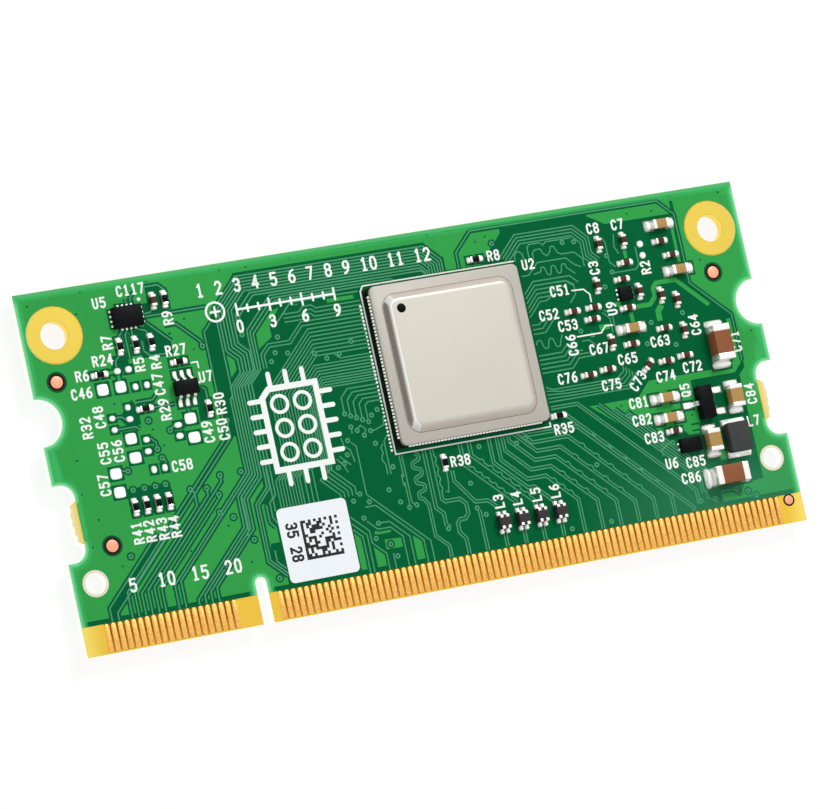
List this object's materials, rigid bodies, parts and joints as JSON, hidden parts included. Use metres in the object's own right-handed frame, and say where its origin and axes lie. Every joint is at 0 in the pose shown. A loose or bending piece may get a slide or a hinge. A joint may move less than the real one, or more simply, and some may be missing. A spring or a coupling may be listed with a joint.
{
  "type": "processor module board",
  "caption": "Plug-in processor board: green laminate with gold edge contacts, a metal-lidded chip, small soldered parts, mounting holes and memory chips underneath.",
  "frame": {"origin": "under the middle of the board, on the plane that the underside packages lie on", "axes": "+X along the contact edge, +Y from the contact edge to the mounting holes, +Z out of the face with the lidded processor"},
  "size_m": [0.0676, 0.031, 0.0038],
  "materials": {
    "laminate": "green solder mask over glass-fibre laminate, semi-gloss",
    "gold_plate": "thin gold plating, satin",
    "copper": "bare copper, matte",
    "tin": "tin and solder, bright and slightly uneven",
    "solder_ball": "solder, satin",
    "lid_metal": "nickel-plated sheet, fine satin",
    "substrate": "dark green laminate",
    "silicon": "ground silicon",
    "thermal_paste": "grey filled paste",
    "package_black": "moulded black epoxy, matte",
    "ferrite": "dark moulded ferrite",
    "filter_body": "dark grey ferrite chip",
    "ceramic_brown": "fired brown ceramic",
    "ceramic_tan": "fired tan ceramic",
    "ceramic_dark": "fired dark brown ceramic",
    "resistor_black": "black glass overcoat",
    "label_paper": "white polyester label, satin"
  },
  "bodies": {
    "root": {"circuit_board": "laminate", "edge_contacts_front": "gold_plate", "edge_contacts_back": "gold_plate", "mounting_ring_left": "gold_plate", "mounting_ring_right": "gold_plate", "fiducial_marks": "copper", "bare_lands": "tin", "component_lands": "tin", "processor_balls": "solder_ball", "processor_substrate": "substrate", "processor_die": "silicon", "thermal_layer": "thermal_paste", "processor_lid": "lid_metal", "memory_chip": "package_black", "memory_chip_balls": "solder_ball", "flash_chip": "package_black", "flash_chip_balls": "solder_ball", "interface_chip": "package_black", "gate_chip": "package_black", "gate_chip_leads": "tin", "charge_chip": "package_black", "converter_chip": "package_black", "transistor": "package_black", "transistor_leads": "tin", "power_inductor": "ferrite", "signal_capacitors": "ceramic_dark", "memory_capacitors": "ceramic_dark", "regulator_capacitors": "ceramic_dark", "core_capacitors": "ceramic_dark", "underside_capacitors": "ceramic_dark", "label": "label_paper", "line_filter_1": "filter_body", "line_filter_2": "filter_body", "line_filter_3": "filter_body", "line_filter_4": "filter_body", "bulk_capacitor_1": "ceramic_brown", "bulk_capacitor_2": "ceramic_brown", "output_capacitor_1": "ceramic_tan", "output_capacitor_2": "ceramic_tan", "reservoir_capacitor_1": "ceramic_tan", "reservoir_capacitor_2": "ceramic_tan", "reservoir_capacitor_3": "ceramic_tan", "reservoir_capacitor_4": "ceramic_tan", "reservoir_capacitor_5": "ceramic_tan", "resistor_1": "resistor_black", "resistor_2": "resistor_black", "resistor_3": "resistor_black", "resistor_4": "resistor_black", "resistor_5": "resistor_black", "resistor_6": "resistor_black", "resistor_7": "resistor_black", "resistor_8": "resistor_black", "resistor_9": "resistor_black", "resistor_10": "resistor_black", "resistor_11": "resistor_black", "resistor_12": "resistor_black", "resistor_13": "resistor_black", "resistor_14": "resistor_black", "resistor_15": "resistor_black"}
  },
  "joints": []
}
